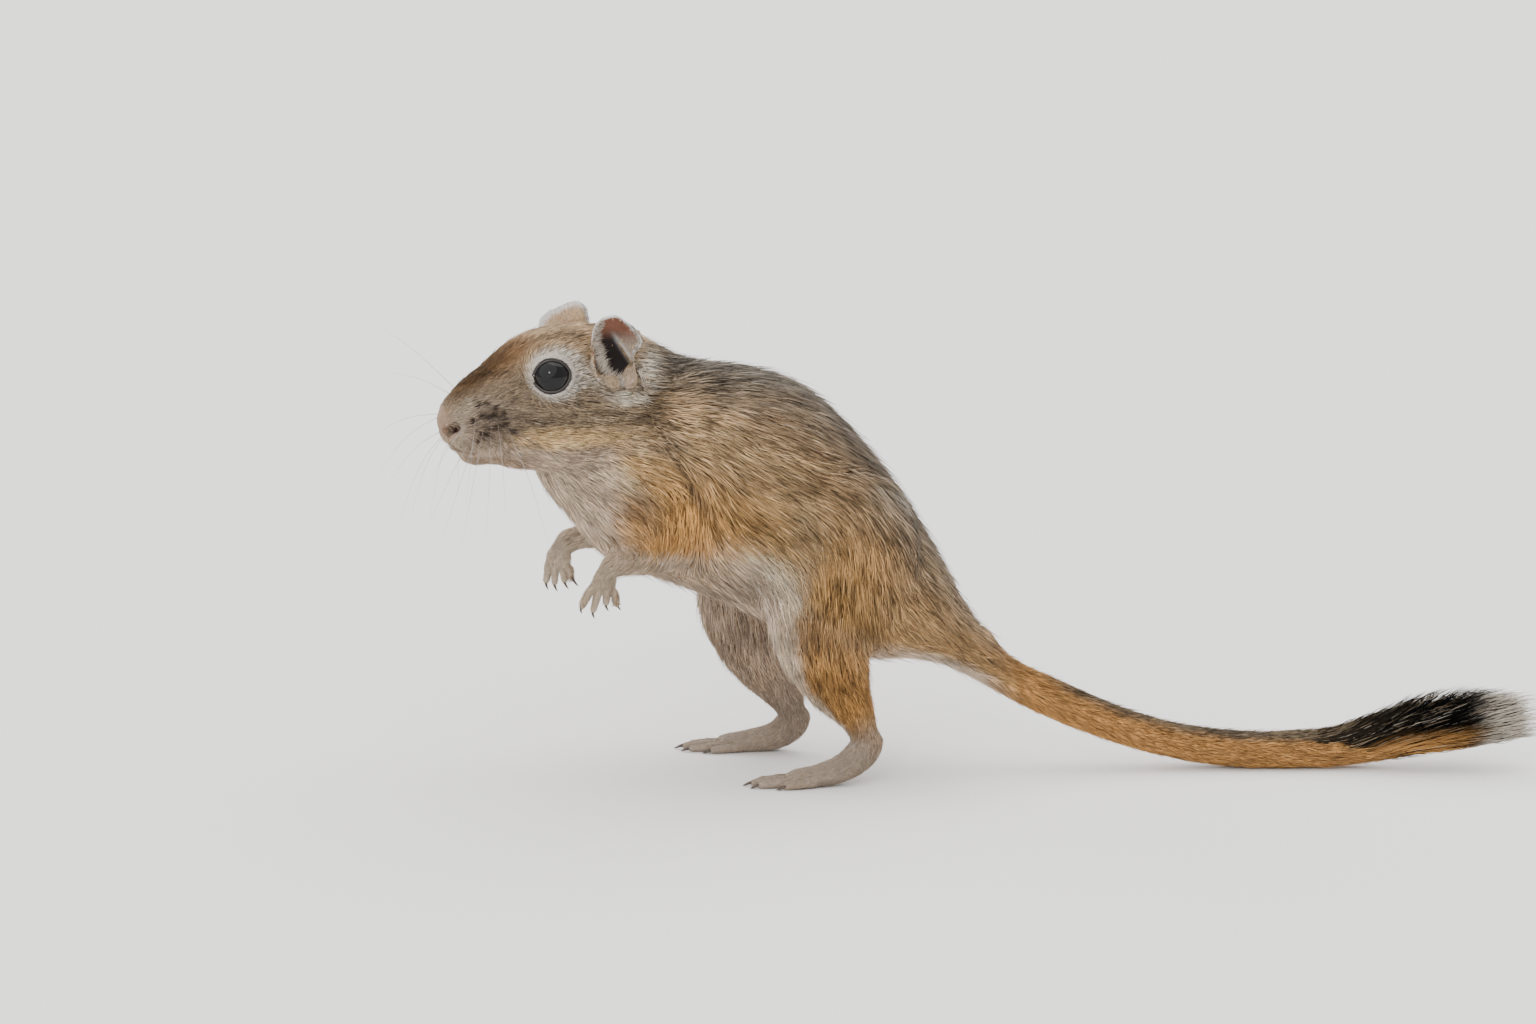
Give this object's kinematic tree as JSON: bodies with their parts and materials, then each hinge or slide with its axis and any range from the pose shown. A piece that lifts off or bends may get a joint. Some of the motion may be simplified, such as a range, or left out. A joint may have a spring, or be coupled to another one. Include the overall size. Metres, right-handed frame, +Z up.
{
  "type": "gerbil",
  "caption": "Life-size gerbil, half upright on its hind feet with forepaws hanging, its brushed tail resting on the floor.",
  "frame": {"origin": "middle of the bounding box seen from above, on the floor under the feet", "axes": "-X the way the animal faces, -Y its left side, +Z up"},
  "size_m": [0.1974, 0.0408, 0.085],
  "materials": {
    "flank_coat": "soft short fur",
    "limb_coat": "soft short fur",
    "pale_coat": "very short pale fur",
    "ear_skin": "thin, bare, downy skin",
    "tail_coat": "short fur ending in a dark brush",
    "eye": "wet gloss"
  },
  "bodies": {
    "root": {"head": "flank_coat", "neck": "flank_coat", "torso": "flank_coat", "thigh_left": "limb_coat", "thigh_right": "limb_coat", "shank_left": "limb_coat", "shank_right": "limb_coat", "foreleg_left": "limb_coat", "foreleg_right": "limb_coat", "forepaw_left": "pale_coat", "forepaw_right": "pale_coat", "hindfoot_left": "pale_coat", "hindfoot_right": "pale_coat", "ear_left": "ear_skin", "ear_right": "ear_skin", "tail_base": "tail_coat", "tail_middle": "tail_coat", "tail_end": "tail_coat", "eye_left": "eye", "eye_right": "eye"}
  },
  "joints": []
}
